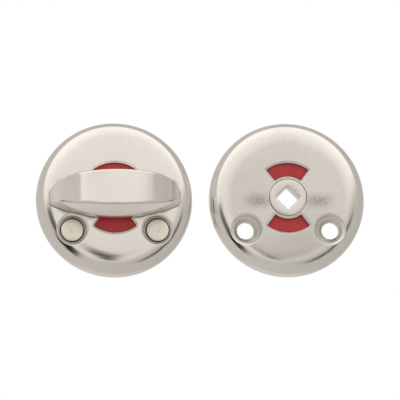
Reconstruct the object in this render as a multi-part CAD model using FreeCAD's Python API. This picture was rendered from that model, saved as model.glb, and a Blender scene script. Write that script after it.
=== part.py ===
"""Bathroom thumb turn lock: the inside and the outside half, side by side.

Millimetres. +Z is up, both faces look towards -Y, and both back rims lie in the plane Y = 0.
The origin is the inside half's spindle axis in that plane. The outside half stands beside it at +X.
Each half is a pressed round rose with two indicator windows and two screw recesses. Behind the face
a two-coloured disc turns with the thumb turn or, outside, with the follower that has a square socket.
"""
import FreeCAD, Part
import math
import os

V = FreeCAD.Vector
AXIS = V(0, 1, 0)
CENTRE = V(0, 0, 0)

# Rose: one pressing, used for both halves
ROSE_RADIUS = 27.5
ROSE_HEIGHT = 6.5
DOME_RADIUS = 215.0
SHOULDER_WIDTH = 2.6
BROW_WIDTH = 5.9
BROW_RADIUS = 30.0
SHEET = 1.0
ROSE_SPACING = 61.0

# Indicator windows: sectors above and below the hub
WINDOW_INNER = 7.6
WINDOW_OUTER = 12.4
WINDOW_HALF_ANGLE = 37.0
WINDOW_EDGE_ROLL = 0.4

# Screw recesses, pressed into the rose below the hub
SCREW_SPACING = 30.0
SCREW_DROP = 11.4
SCREW_HOLE_RADIUS = 3.05
SINK_RADIUS = 4.4
SINK_FRONT = 4.75
RECESS_FLOOR_RADIUS = 4.9
RECESS_MOUTH_RADIUS = 5.3
RECESS_LIP_ROLL = 0.6
RECESS_SHEET = 0.7
NECK_SEAT_RADIUS = 4.9
NECK_RADIUS = 4.2
NECK_RIM_RADIUS = 4.8
NECK_RIM_DEPTH = 0.35

# Bearing plate, swaged to the necks of the screw recesses
PLATE_FRONT = 2.4
PLATE_THICKNESS = 1.0
PLATE_CORE_RADIUS = 12.0
PLATE_PAD_RADIUS = 6.8
PLATE_ARM_WIDTH = 12.0
PLATE_EDGE_CLEARANCE = 0.6
PLATE_CORNER_RADIUS = 3.0
NECK_CLEARANCE = 0.05

# Hub that turns in the rose: the thumb turn's journal and the follower share it
HUB_RADIUS = 6.5
HUB_CLEARANCE = 0.15
HUB_SHOULDER = 4.8
NECK_JOURNAL_RADIUS = 5.5
NECK_JOURNAL_FLATS = 8.8
NECK_JOURNAL_END = 0.1
JOURNAL_CLEARANCE = 0.08
SOCKET_SIDE = 6.1
FOLLOWER_RECESS = 0.05
FOLLOWER_FLANGE_RADIUS = 7.3
FOLLOWER_FLANGE_THICKNESS = 0.45

# Indicator disc
DISC_RADIUS = 12.8
DISC_THICKNESS = 0.8
DISC_FIT = 0.05

# Wave washer between the disc and the bearing plate
WAVE_INNER = 6.0
WAVE_OUTER = 8.6
WAVE_SHEET = 0.3
WAVE_COUNT = 3
WAVE_POINTS = 8
WAVE_CLEARANCE = 0.05

# Retaining ring in its groove behind the bearing plate
RING_THICKNESS = 0.7
RING_GAP = 0.1
RING_OUTER = 6.7
RING_LUG_RADIUS = 1.2
RING_LUG_HOLE = 0.5
RING_OPENING_HALF_ANGLE = 20.0
GROOVE_RADIUS = 4.9
GROOVE_FIT = 0.05

# Spindle: a square bar set on its edge
SPINDLE_SIDE = 6.0
SPINDLE_LENGTH = 60.0
SPINDLE_ENGAGED = 9.0
SPINDLE_CHAMFER = 0.6
PIN_RADIUS = 1.0
PIN_LENGTH = 10.0
PIN_FIT = 0.03
PIN_REACH = 2.6
PIN_RECESS = 0.4

# Thumb turn: a half-moon grip on a lens-shaped foot
GRIP_REACH = 20.0
GRIP_LENGTH = 46.2
GRIP_PLAN_LENGTH = 47.6
GRIP_FOOT_WIDTH = 15.4
GRIP_FOOT_END_WIDTH = 4.6
GRIP_FOOT_WALL = 4.2
GRIP_FRONT_WIDTH = 12.9
FINGER_BEVEL = 27.5
FINGER_LEAN = 22.0
FINGER_BEND_RADIUS = 5.0
GRIP_CREST_RADIUS = 45.0
GRIP_CORNER_RADIUS = 14.0
GRIP_CORNER_REACH = 22.4
GRIP_END_HEIGHT = 10.5
GRIP_EDGE_ROLL = 1.0
GRIP_FOOT_GAP = 0.25

# Sleeve nuts: blind turned heads at the front, threaded shanks through the door
SLEEVE_HEAD_RADIUS = 3.9
SLEEVE_HEAD_RIM = 0.7
SLEEVE_SHANK_RADIUS = 3.0
SLEEVE_REACH = 32.0
SLEEVE_THREAD_RADIUS = 2.0
SLEEVE_THREAD_DEPTH = 26.0
SLEEVE_SEAT_GAP = 0.05
SLEEVE_EDGE = 0.3

MARGIN = 2.0
TINY = 0.01

BROW_END = ROSE_RADIUS - SHOULDER_WIDTH
BROW_START = BROW_END - BROW_WIDTH
DOME_CENTRE = DOME_RADIUS - ROSE_HEIGHT
GRIP_FOOT = ROSE_HEIGHT + GRIP_FOOT_GAP
PLATE_BACK = PLATE_FRONT - PLATE_THICKNESS
DISC_BACK = HUB_SHOULDER - DISC_THICKNESS
SINK_BACK = SINK_FRONT - (SINK_RADIUS - SCREW_HOLE_RADIUS)


def point(radius, depth):
    """A point of a turned profile: radius along X, depth in front of the back rim along -Y."""
    return V(radius, -depth, 0)


def polyline(points):
    """Straight edges from each point to the next."""
    return [Part.makeLine(a, b) for a, b in zip(points, points[1:])]


def turned(edges):
    """The closed profile in the XY plane, turned once round the Y axis."""
    face = Part.Face(Part.Wire(edges))
    return face.revolve(CENTRE, AXIS, 360)


def turned_points(points):
    """A turned solid from straight lines between (radius, depth) points."""
    corners = [point(*p) for p in points]
    return turned(polyline(corners + corners[:1]))


def cylinder(radius, front, back):
    """A round bar on the Y axis between two depths."""
    return Part.makeCylinder(radius, front - back, point(0, front), AXIS)


def square_bar(side, front, back):
    """A square bar on the Y axis that stands on its edge."""
    bar = Part.makeBox(side, front - back, side, V(-side / 2, -front, -side / 2))
    bar.rotate(CENTRE, AXIS, 45)
    return bar


def moved(shape, x=0.0, z=0.0):
    """A copy of the shape, shifted in the plane of the door."""
    copy = shape.copy()
    copy.translate(V(x, 0, z))
    return copy


def front_bends():
    """Dome, brow and shoulder of the rose, as (centre radius, centre depth, bend radius, first and last lean)."""
    first = math.asin(BROW_START / DOME_RADIUS)
    last = math.asin(math.sin(first) + (BROW_END - BROW_START) / BROW_RADIUS)
    shoulder = (ROSE_RADIUS - BROW_END) / (1 - math.sin(last))
    brow_r = (DOME_RADIUS - BROW_RADIUS) * math.sin(first)
    brow_depth = (DOME_RADIUS - BROW_RADIUS) * math.cos(first) - DOME_CENTRE
    shoulder_r = brow_r + (BROW_RADIUS - shoulder) * math.sin(last)
    shoulder_depth = brow_depth + (BROW_RADIUS - shoulder) * math.cos(last)
    return [
        (0, -DOME_CENTRE, DOME_RADIUS, 0, first),
        (brow_r, brow_depth, BROW_RADIUS, first, last),
        (shoulder_r, shoulder_depth, shoulder, last, math.pi / 2),
    ]


def front_depth(radius):
    """Depth of the rose's face at a radius from the hub, out to the rounded shoulder."""
    dome, brow, shoulder = front_bends()
    beyond_dome = brow if radius < BROW_END else shoulder
    centre_r, centre_depth, bend, _, _ = dome if radius < BROW_START else beyond_dome
    return centre_depth + math.sqrt(bend ** 2 - (radius - centre_r) ** 2)


def shell_form(inset):
    """The rose's dome, brow, rounded shoulder and side wall, inset by part of the sheet."""
    edges = []
    for centre_r, centre_depth, bend, first, last in front_bends():
        reach = bend - inset
        leans = (first, (first + last) / 2, last)
        arc = [point(centre_r + reach * math.sin(a), centre_depth + reach * math.cos(a)) for a in leans]
        edges.append(Part.Arc(*arc).toShape())
    edges += polyline([arc[-1], point(ROSE_RADIUS - inset, -inset), point(0, -inset), point(0, ROSE_HEIGHT - inset)])
    return turned(edges)


def window_cutter(direction):
    """A sector prism through the face, above (+1) or below (-1) the hub."""
    half = math.radians(WINDOW_HALF_ANGLE)

    def corner(radius, angle):
        return V(radius * math.sin(angle), -ROSE_HEIGHT - MARGIN, direction * radius * math.cos(angle))

    inner = [corner(WINDOW_INNER, a) for a in (-half, 0, half)]
    outer = [corner(WINDOW_OUTER, a) for a in (half, 0, -half)]
    edges = [
        Part.Arc(*inner).toShape(),
        Part.makeLine(inner[-1], outer[0]),
        Part.Arc(*outer).toShape(),
        Part.makeLine(outer[-1], inner[0]),
    ]
    return Part.Face(Part.Wire(edges)).extrude(V(0, ROSE_HEIGHT + MARGIN - DISC_BACK, 0))


def recess_cutter():
    """What the punch leaves open: a dished mouth, a countersink and the screw hole."""
    top = ROSE_HEIGHT + MARGIN
    slope = (RECESS_MOUTH_RADIUS - RECESS_FLOOR_RADIUS) / (ROSE_HEIGHT - SINK_FRONT)
    mouth = RECESS_MOUTH_RADIUS + MARGIN * slope
    return turned_points([
        (0, top),
        (mouth, top),
        (RECESS_FLOOR_RADIUS, SINK_FRONT),
        (SINK_RADIUS, SINK_FRONT),
        (SCREW_HOLE_RADIUS, SINK_BACK),
        (SCREW_HOLE_RADIUS, -MARGIN),
        (0, -MARGIN),
    ])


def recess_body():
    """The sheet that is pressed down round a screw hole, with the neck that is rolled over the plate."""
    seat = SINK_FRONT - RECESS_SHEET
    rim = PLATE_BACK - NECK_CLEARANCE
    return turned_points([
        (0, ROSE_HEIGHT),
        (RECESS_MOUTH_RADIUS + SHEET, ROSE_HEIGHT),
        (RECESS_FLOOR_RADIUS + RECESS_SHEET, seat),
        (NECK_SEAT_RADIUS, seat - (RECESS_FLOOR_RADIUS + RECESS_SHEET - NECK_SEAT_RADIUS)),
        (NECK_SEAT_RADIUS, PLATE_FRONT),
        (NECK_RADIUS, PLATE_FRONT),
        (NECK_RADIUS, rim),
        (NECK_RIM_RADIUS, rim),
        (NECK_RADIUS, rim - NECK_RIM_DEPTH),
        (0, rim - NECK_RIM_DEPTH),
    ])


def screw_places():
    """The two screw axes, left and right, as (x, z)."""
    return [(-SCREW_SPACING / 2, -SCREW_DROP), (SCREW_SPACING / 2, -SCREW_DROP)]


def face_edges(shape, wanted):
    """Edges whose middle lies on the rose's face and passes the test."""
    found = []
    for edge in shape.Edges:
        middle = edge.valueAt((edge.FirstParameter + edge.LastParameter) / 2)
        radius = math.hypot(middle.x, middle.z)
        if radius < ROSE_RADIUS - TINY and abs(-middle.y - front_depth(radius)) < TINY and wanted(middle):
            found.append(edge)
    return found


def rose():
    """The pressed rose with its hub hole, indicator windows and screw recesses."""
    outside = shell_form(0)
    body = outside.cut(shell_form(SHEET))
    for x, z in screw_places():
        body = body.fuse(moved(recess_body(), x, z).common(outside))
    for x, z in screw_places():
        body = body.cut(moved(recess_cutter(), x, z))
    body = body.cut(cylinder(HUB_RADIUS + HUB_CLEARANCE, ROSE_HEIGHT + MARGIN, DISC_BACK))
    for direction in (1, -1):
        body = body.cut(window_cutter(direction))
    body = body.removeSplitter()

    def by_window(middle):
        return WINDOW_INNER - TINY < math.hypot(middle.x, middle.z) < WINDOW_OUTER + TINY

    def by_recess(middle):
        return any(
            abs(math.hypot(middle.x - x, middle.z - z) - RECESS_MOUTH_RADIUS) < RECESS_LIP_ROLL for x, z in screw_places()
        )

    body = body.makeFillet(WINDOW_EDGE_ROLL, face_edges(body, by_window))
    return body.makeFillet(RECESS_LIP_ROLL, face_edges(body, by_recess))


def bearing_plate():
    """A stamped plate: a round core, a pad round each screw neck and an arm up to the rose's wall."""
    plate = cylinder(PLATE_CORE_RADIUS, PLATE_FRONT, PLATE_BACK)
    side = PLATE_ARM_WIDTH / 2
    plate = plate.fuse(Part.makeBox(PLATE_ARM_WIDTH, PLATE_THICKNESS, ROSE_RADIUS, V(-side, -PLATE_FRONT, 0)))
    length = math.hypot(SCREW_SPACING / 2, SCREW_DROP)
    for x, z in screw_places():
        arm = Part.makeBox(length, PLATE_THICKNESS, PLATE_ARM_WIDTH, V(0, -PLATE_FRONT, -side))
        arm.rotate(CENTRE, AXIS, -math.degrees(math.atan2(z, x)))
        plate = plate.fuse(arm).fuse(moved(cylinder(PLATE_PAD_RADIUS, PLATE_FRONT, PLATE_BACK), x, z))
    plate = plate.common(cylinder(ROSE_RADIUS - SHEET - PLATE_EDGE_CLEARANCE, PLATE_FRONT, PLATE_BACK))
    plate = plate.cut(cylinder(NECK_JOURNAL_RADIUS + JOURNAL_CLEARANCE, PLATE_FRONT, PLATE_BACK))
    for x, z in screw_places():
        plate = plate.cut(moved(cylinder(NECK_RADIUS + NECK_CLEARANCE, PLATE_FRONT, PLATE_BACK), x, z))
    plate = plate.removeSplitter()
    corners = [e for e in plate.Edges if inner_corner(e)]
    return plate.makeFillet(PLATE_CORNER_RADIUS, corners)


def inner_corner(edge):
    """True for the plate's upright edges where an arm leaves the core."""
    middle = edge.valueAt((edge.FirstParameter + edge.LastParameter) / 2)
    upright = abs(edge.tangentAt(edge.FirstParameter).y) > 1 - TINY
    return upright and abs(math.hypot(middle.x, middle.z) - PLATE_CORE_RADIUS) < TINY


def journal(front):
    """The turning hub behind the face: a round head, a four-flat neck and the ring's groove."""
    groove_front = PLATE_BACK - RING_GAP + GROOVE_FIT
    groove_back = groove_front - RING_THICKNESS - 2 * GROOVE_FIT
    head = cylinder(HUB_RADIUS, front, HUB_SHOULDER)
    neck = cylinder(NECK_JOURNAL_RADIUS, HUB_SHOULDER, NECK_JOURNAL_END)
    neck = neck.common(square_bar(NECK_JOURNAL_FLATS, HUB_SHOULDER, NECK_JOURNAL_END))
    groove = cylinder(HUB_RADIUS, groove_front, groove_back).cut(
        cylinder(GROOVE_RADIUS, groove_front, groove_back)
    )
    return head.fuse(neck.cut(groove)).removeSplitter()


def follower():
    """The outside hub: flush with the face, square socket right through, flange behind the face."""
    front = ROSE_HEIGHT - FOLLOWER_RECESS
    flange = cylinder(FOLLOWER_FLANGE_RADIUS, HUB_SHOULDER + FOLLOWER_FLANGE_THICKNESS, HUB_SHOULDER)
    socket = square_bar(SOCKET_SIDE, front + MARGIN, -MARGIN)
    return journal(front).fuse(flange).cut(socket).removeSplitter()


def indicator_disc():
    """The flat disc behind the windows, driven by the flats of the hub's neck."""
    hole = cylinder(NECK_JOURNAL_RADIUS + DISC_FIT, HUB_SHOULDER, DISC_BACK)
    hole = hole.common(square_bar(NECK_JOURNAL_FLATS + 2 * DISC_FIT, HUB_SHOULDER, DISC_BACK))
    return cylinder(DISC_RADIUS, HUB_SHOULDER, DISC_BACK).cut(hole)


def wave_washer():
    """A thin spring ring whose height follows a sine wave round its circle."""
    front = DISC_BACK - WAVE_CLEARANCE
    back = PLATE_FRONT + WAVE_CLEARANCE + WAVE_SHEET
    middle = (front + back) / 2
    swing = (front - back) / 2

    def wave_curve(radius):
        steps = WAVE_COUNT * WAVE_POINTS
        points = []
        for step in range(steps):
            turn = 2 * math.pi * step / steps
            depth = middle + swing * math.sin(WAVE_COUNT * turn)
            points.append(V(radius * math.cos(turn), -depth, radius * math.sin(turn)))
        curve = Part.BSplineCurve()
        curve.interpolate(points, PeriodicFlag=True)
        return curve.toShape()

    band = Part.makeRuledSurface(wave_curve(WAVE_INNER), wave_curve(WAVE_OUTER))
    return band.extrude(V(0, WAVE_SHEET, 0))


def retaining_ring():
    """An open spring ring with a drilled lug at each side of its opening, which is at the bottom."""
    front = PLATE_BACK - RING_GAP
    back = front - RING_THICKNESS
    half = math.radians(RING_OPENING_HALF_ANGLE)
    ring = cylinder(RING_OUTER, front, back)
    reach = 2 * RING_OUTER
    wedge = Part.Face(Part.Wire(polyline([
        V(0, -front, 0),
        V(reach * math.sin(half), -front, -reach * math.cos(half)),
        V(-reach * math.sin(half), -front, -reach * math.cos(half)),
        V(0, -front, 0),
    ])))
    ring = ring.cut(wedge.extrude(V(0, RING_THICKNESS, 0)))
    lug_angle = half + RING_LUG_RADIUS / RING_OUTER
    for side in (1, -1):
        x = side * RING_OUTER * math.sin(lug_angle)
        z = -RING_OUTER * math.cos(lug_angle)
        ring = ring.fuse(moved(cylinder(RING_LUG_RADIUS, front, back), x, z))
        ring = ring.cut(moved(cylinder(RING_LUG_HOLE, front, back), x, z))
    bore = cylinder(GROOVE_RADIUS + GROOVE_FIT, front, back)
    return ring.cut(bore).removeSplitter()


def spindle():
    """The square bar from inside the grip to the far half, cross-drilled for its pin."""
    front = GRIP_FOOT + SPINDLE_ENGAGED
    bar = square_bar(SPINDLE_SIDE, front, front - SPINDLE_LENGTH)
    ends = [e for e in bar.Edges if abs(e.tangentAt(e.FirstParameter).y) < 0.5]
    bar = bar.makeChamfer(SPINDLE_CHAMFER, ends)
    return bar.cut(pin_bar(PIN_RADIUS + PIN_FIT, 0))


def pin_bar(radius, extra):
    """A round bar down through the foot of the grip and the spindle, from just under the upper wall."""
    top = GRIP_FOOT_WIDTH / 2 - PIN_RECESS
    start = V(0, -GRIP_FOOT - PIN_REACH, top + extra)
    return Part.makeCylinder(radius, PIN_LENGTH + extra, start, V(0, 0, -1))


def grip_plan():
    """The grip's foot as a prism along the spindle: two bowed flanks, longer than the grip itself."""
    side = GRIP_FOOT_WIDTH / 2
    end = GRIP_FOOT_END_WIDTH / 2
    far = GRIP_PLAN_LENGTH / 2
    start = MARGIN - GRIP_FOOT
    edges = [
        Part.Arc(V(-far, start, end), V(0, start, side), V(far, start, end)).toShape(),
        Part.makeLine(V(far, start, end), V(far, start, -end)),
        Part.Arc(V(far, start, -end), V(0, start, -side), V(-far, start, -end)).toShape(),
        Part.makeLine(V(-far, start, -end), V(-far, start, end)),
    ]
    return Part.Face(Part.Wire(edges)).extrude(V(0, -GRIP_REACH - 2 * MARGIN, 0))


def grip_section():
    """The grip seen from its end, as a prism: foot wall, bevel, round bend and a lean out to the front."""
    down = math.radians(FINGER_BEVEL)
    out = math.radians(FINGER_LEAN)
    wall = GRIP_FOOT_WIDTH / 2
    rise = math.tan(down) * GRIP_FOOT_WALL + math.tan(out) * GRIP_REACH
    waist = (wall - GRIP_FRONT_WIDTH / 2 + rise) / (math.tan(down) + math.tan(out))
    waist_half = wall - math.tan(down) * (waist - GRIP_FOOT_WALL)
    tangent = FINGER_BEND_RADIUS * math.tan((down + out) / 2)
    turn = (down - out) / 2
    bend_start = waist - tangent * math.cos(down)
    bend_start_half = waist_half + tangent * math.sin(down)
    bend_middle = bend_start + FINGER_BEND_RADIUS * (math.sin(down) - math.sin(turn))
    bend_middle_half = bend_start_half + FINGER_BEND_RADIUS * (math.cos(down) - math.cos(turn))
    bend_end = waist + tangent * math.cos(out)
    bend_end_half = waist_half + tangent * math.sin(out)
    top = GRIP_REACH + MARGIN
    top_half = waist_half + math.tan(out) * (top - waist)
    bevel_top = GRIP_FOOT_WALL - MARGIN / math.tan(down)

    def at(height, half):
        return V(-GRIP_LENGTH, -GRIP_FOOT - height, half)

    edges = []
    for side in (1, -1):
        edges += polyline([
            at(-MARGIN, 0),
            at(-MARGIN, side * (wall + MARGIN)),
            at(bevel_top, side * (wall + MARGIN)),
            at(bend_start, side * bend_start_half),
        ])
        bend = [(bend_start, bend_start_half), (bend_middle, bend_middle_half), (bend_end, bend_end_half)]
        edges.append(Part.Arc(*[at(height, side * half) for height, half in bend]).toShape())
        edges += polyline([at(bend_end, side * bend_end_half), at(top, side * top_half), at(top, 0)])
    outline = Part.Wire(Part.__sortEdges__(edges))
    return Part.Face(outline).extrude(V(2 * GRIP_LENGTH, 0, 0))


def grip_profile():
    """The grip seen from above: drawn-in ends, rounded corners and a shallow crest, as a prism."""
    crest_centre = GRIP_REACH - GRIP_CREST_RADIUS
    corner_x = GRIP_CORNER_REACH - GRIP_CORNER_RADIUS
    corner_height = crest_centre + math.sqrt((GRIP_CREST_RADIUS - GRIP_CORNER_RADIUS) ** 2 - corner_x ** 2)
    lean = math.asin(corner_x / (GRIP_CREST_RADIUS - GRIP_CORNER_RADIUS))
    end = math.acos((GRIP_END_HEIGHT - corner_height) / GRIP_CORNER_RADIUS)

    def at(x, height):
        return V(x, -GRIP_FOOT - height, -GRIP_FOOT_WIDTH)

    def corner(side, angle):
        x = corner_x + GRIP_CORNER_RADIUS * math.sin(angle)
        return at(side * x, corner_height + GRIP_CORNER_RADIUS * math.cos(angle))

    draft = (GRIP_LENGTH / 2 - corner(1, end).x) / GRIP_END_HEIGHT
    far = GRIP_LENGTH / 2 + draft * MARGIN
    edges = polyline([corner(-1, end), at(-far, -MARGIN), at(far, -MARGIN), corner(1, end)])
    edges += [
        Part.Arc(corner(1, end), corner(1, (end + lean) / 2), corner(1, lean)).toShape(),
        Part.Arc(corner(1, lean), at(0, GRIP_REACH), corner(-1, lean)).toShape(),
        Part.Arc(corner(-1, lean), corner(-1, (end + lean) / 2), corner(-1, end)).toShape(),
    ]
    return Part.Face(Part.Wire(edges)).extrude(V(0, 0, 2 * GRIP_FOOT_WIDTH))


def grip():
    """The half-moon grip: a lens-shaped foot, a finger groove along each flank and a broad rounded front."""
    body = grip_plan().common(grip_section()).common(grip_profile()).Solids[0]
    body = body.makeFillet(GRIP_EDGE_ROLL, [e for e in body.Edges if rolled_edge(e)])
    return body.cut(Part.makeSphere(DOME_RADIUS + GRIP_FOOT_GAP, V(0, DOME_CENTRE, 0)))


def rolled_edge(edge):
    """True for the curved edges of the flanks above the foot's underside."""
    middle = edge.valueAt((edge.FirstParameter + edge.LastParameter) / 2)
    on_flank = abs(middle.z) > TINY and -middle.y > GRIP_FOOT
    return on_flank and not isinstance(edge.Curve, Part.Line)


def thumb_turn():
    """The grip with its journal, spindle socket and pin hole."""
    body = grip().fuse(journal(GRIP_FOOT + GRIP_FOOT_WALL))
    body = body.cut(square_bar(SOCKET_SIDE, GRIP_FOOT + SPINDLE_ENGAGED, -MARGIN))
    return body.cut(pin_bar(PIN_RADIUS + PIN_FIT, MARGIN)).removeSplitter()


def sleeve_nut():
    """A blind flat head over a cone that sits in the countersink, and a shank with a thread from behind."""
    seat_depth = SINK_FRONT + SLEEVE_SEAT_GAP - (SINK_RADIUS - SLEEVE_HEAD_RADIUS)
    front = seat_depth + SLEEVE_HEAD_RIM
    body = turned_points([
        (0, front),
        (SLEEVE_HEAD_RADIUS - SLEEVE_EDGE, front),
        (SLEEVE_HEAD_RADIUS, front - SLEEVE_EDGE),
        (SLEEVE_HEAD_RADIUS, seat_depth),
        (SLEEVE_SHANK_RADIUS, seat_depth - (SLEEVE_HEAD_RADIUS - SLEEVE_SHANK_RADIUS)),
        (SLEEVE_SHANK_RADIUS, -SLEEVE_REACH + SLEEVE_EDGE),
        (SLEEVE_SHANK_RADIUS - SLEEVE_EDGE, -SLEEVE_REACH),
        (0, -SLEEVE_REACH),
    ])
    return body.cut(cylinder(SLEEVE_THREAD_RADIUS, SLEEVE_THREAD_DEPTH - SLEEVE_REACH, -SLEEVE_REACH))


def parts():
    """Every piece by name, in its place."""
    (left_x, left_z), (right_x, right_z) = screw_places()
    pieces = {
        "thumb_turn": thumb_turn(),
        "spindle": spindle(),
        "spindle_pin": pin_bar(PIN_RADIUS, 0),
        "sleeve_nut_left": moved(sleeve_nut(), left_x, left_z),
        "sleeve_nut_right": moved(sleeve_nut(), right_x, right_z),
        "follower": moved(follower(), ROSE_SPACING),
    }
    shared = {
        "rose": rose(),
        "bearing_plate": bearing_plate(),
        "indicator_disc": indicator_disc(),
        "wave_washer": wave_washer(),
        "retaining_ring": retaining_ring(),
    }
    for name, shape in shared.items():
        pieces["inside_" + name] = shape
        pieces["outside_" + name] = moved(shape, ROSE_SPACING)
    return pieces


os.makedirs("parts", exist_ok=True)
for name, shape in parts().items():
    shape.exportStep("parts/" + name + ".step")
    print(name, shape.isValid(), len(shape.Solids), round(shape.Volume, 1))
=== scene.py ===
"""Looks of the bathroom thumb turn lock: satin nickel roses, a brighter grip, red and white indicator
discs and plain turned sleeve heads, on a white studio ground. Lengths are millimetres until a mesh or
a finish is made. Depth is measured from the plane of the back rims towards the viewer, along -Y."""
import math

import bmesh
import bpy
import numpy as np
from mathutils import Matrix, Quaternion, Vector
from mathutils.geometry import delaunay_2d_cdt


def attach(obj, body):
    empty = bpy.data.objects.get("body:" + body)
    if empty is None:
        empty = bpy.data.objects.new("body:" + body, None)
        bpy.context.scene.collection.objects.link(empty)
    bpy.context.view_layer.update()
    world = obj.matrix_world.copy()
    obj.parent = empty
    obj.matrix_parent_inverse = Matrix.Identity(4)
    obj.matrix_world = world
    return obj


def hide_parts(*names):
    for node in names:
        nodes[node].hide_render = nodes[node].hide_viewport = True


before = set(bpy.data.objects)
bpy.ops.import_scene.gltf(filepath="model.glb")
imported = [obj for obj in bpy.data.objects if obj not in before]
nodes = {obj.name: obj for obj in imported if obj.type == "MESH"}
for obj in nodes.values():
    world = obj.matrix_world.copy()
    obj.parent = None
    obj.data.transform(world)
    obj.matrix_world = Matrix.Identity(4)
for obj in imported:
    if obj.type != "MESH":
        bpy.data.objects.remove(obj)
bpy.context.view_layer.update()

MILLIMETRE = 0.001

# Rose: one pressing, used for both halves
ROSE_RADIUS = 27.5
ROSE_HEIGHT = 6.5
DOME_RADIUS = 215.0
BROW_START = 19.0
BROW_RADIUS = 30.0
BROW_END = 24.9
SHEET = 1.0
RIM_EDGE = 0.12
RIM_INNER_LEAN = 0.1
ROSE_SPACING = 61.0

# Windows; their lip is a list of (distance from the opening, drop below the face)
WINDOW_INNER = 7.6
WINDOW_OUTER = 12.4
WINDOW_HALF_ANGLE = math.radians(37.0)
WINDOW_CORNER = 0.35
WINDOW_ROLL = 0.62
WINDOW_LIP = (
    (WINDOW_ROLL, 0.0), (0.57, 0.03), (0.54, 0.16), (0.49, 0.2), (0.43, 0.17),
    (0.34, 0.1), (0.22, 0.08), (0.12, 0.13), (0.04, 0.27), (0.0, 0.45),
)

# Screw recesses
SCREW_X = 15.0
SCREW_Z = -11.4
SCREW_CENTRES = ((-SCREW_X, SCREW_Z), (SCREW_X, SCREW_Z))
SCREW_HOLE = 3.05
SINK_RADIUS = 4.55
SINK_DEPTH = 4.75
RECESS_FLOOR = 4.75
RECESS_SLOPE = 1.7
RECESS_ROLL = 0.9
RECESS_REACH = BROW_END - math.hypot(SCREW_X, SCREW_Z)

# Necks of the recesses, swaged over the bearing plate
RECESS_BACK = 5.65
RECESS_HEEL = 5.55
RECESS_HEEL_DEPTH = 4.2
NECK_SEAT = 4.9
NECK_SEAT_DEPTH = 3.4
NECK_RADIUS = 4.2
PLATE_FRONT = 2.4
NECK_RIM_FRONT = 1.35
NECK_RIM = 4.8
NECK_RIM_EDGE = 0.05
NECK_RIM_WALL = 0.15
NECK_END = 1.0
SCREW_HOLE_EDGE = 0.1

# Hub, journal and socket; NO_LIMIT stands for a circle or flats that cut nothing
HUB_RADIUS = 6.5
HUB_GAP = 0.15
HUB_EDGE = 0.15
HUB_EDGE_MIDDLE = 0.3
HUB_FACE_RING = 1.5
HUB_SHOULDER = 4.8
JOURNAL_RADIUS = 5.5
JOURNAL_FLAT = 4.4
JOURNAL_END = 0.1
JOURNAL_CHAMFER = 0.2
JOURNAL_STEP = 0.1
JOURNAL_IN_FOOT = 0.6
RING_GROOVE_RADIUS = 4.9
RING_GROOVE_FRONT = 1.35
RING_GROOVE_BACK = 0.55
SOCKET_HALF = 3.05
SOCKET_EDGE = 0.12
SOCKET_MOUTH = 0.15
FOLLOWER_FRONT = 6.45
FLANGE_RADIUS = 7.3
FLANGE_FRONT = 5.25
NO_LIMIT = 99.0

# Grip; the finger groove's bevel and lean are slopes
GRIP_FOOT = 6.75
GRIP_REACH = 20.0
GRIP_HALF_LENGTH = 23.1
GRIP_PLAN_HALF = 23.8
GRIP_HALF_WIDTH = 7.7
GRIP_END_WIDTH = 2.3
GRIP_FRONT_HALF = 6.45
FINGER_TOP = 4.2
FINGER_BEVEL = 0.52
FINGER_LEAN = 0.404
FINGER_BEND = 5.0
GRIP_CREST = 45.0
GRIP_CORNER = 14.0
GRIP_CORNER_REACH = 22.4
GRIP_END_HEIGHT = 10.5
GRIP_ROLL = 1.0
GRIP_ROLL_ROOM = 1.4
GRIP_CREASE = 0.3
SATIN_ENDS = (17.5, 21.0)
SPINDLE_ENGAGED = 9.0
SPINDLE_ROOM_START = 1.0
PIN_HOLE = 1.03
PIN_HOLE_START = 9.0
PIN_HOLE_END = -2.7
PIN_REACH = 2.6

# Sleeve nuts; the head's rolled edge is a list of (distance in from its side, drop)
SLEEVE_HEAD = 3.9
SLEEVE_FRONT = 5.0
SLEEVE_EDGE = ((0.35, 0.0), (0.12, 0.06), (0.0, 0.3))
SLEEVE_PIP = 0.25
SLEEVE_PIP_RIM = 0.4
SLEEVE_PIP_DEPTH = 0.04
SLEEVE_SEAT = 4.3
SLEEVE_SHANK = 3.0
SLEEVE_BACK = -32.0
SLEEVE_BACK_CHAMFER = 0.3
SLEEVE_THREAD = 2.0
SLEEVE_THREAD_CHAMFER = 0.2
SLEEVE_THREAD_TOP = -6.0

# Steps and rows, which say how finely each surface is drawn
ROSE_STEPS = 360
RIM_FRONT_ROWS = 26
RIM_INNER_ROWS = 12
HUB_HOLE_STEPS = 180
HUB_EDGE_ROWS = 6
HUB_STEPS = 240
RECESS_STEPS = 96
SINK_RINGS = 6
RECESS_RINGS = 14
WINDOW_OUTER_STEPS = 24
WINDOW_CORNER_STEPS = 8
WINDOW_INNER_STEPS = 14
WINDOW_SIDE_STEPS = 10
GRIP_END_STEPS = 36
GRIP_CORNER_STEPS = 70
GRIP_CREST_STEPS = 60
GRIP_FLANK_ROWS = 46
GRIP_ROLL_ROWS = 18
GRIP_FRONT_ROWS = 40
GRIP_FOOT_ROWS = 24
PIN_HOLE_STEPS = 48
SQUARE_STEPS = 4
SLEEVE_STEPS = 96

# Nets of the face: the spacing of their free points and how far these keep off the net's edges
FRONT_NET = {"spacing": 0.5, "off_hub": 0.8, "off_edge": 0.2, "off_window": 0.25}
BACK_NET = {"spacing": 1.1, "off_hub": 1.0, "off_edge": 0.5, "off_window": 0.3}
FRONT_OFF_REACH = 0.1
BACK_OFF_RECESS = 0.3
NET_TOLERANCE = 1e-6
WHOLE_HULL = 0

# Welding, in metres
WELD_DISTANCE = 2e-6
SLIVER_DISTANCE = 1e-7
SHARP_ANGLE = math.radians(38.0)

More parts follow.
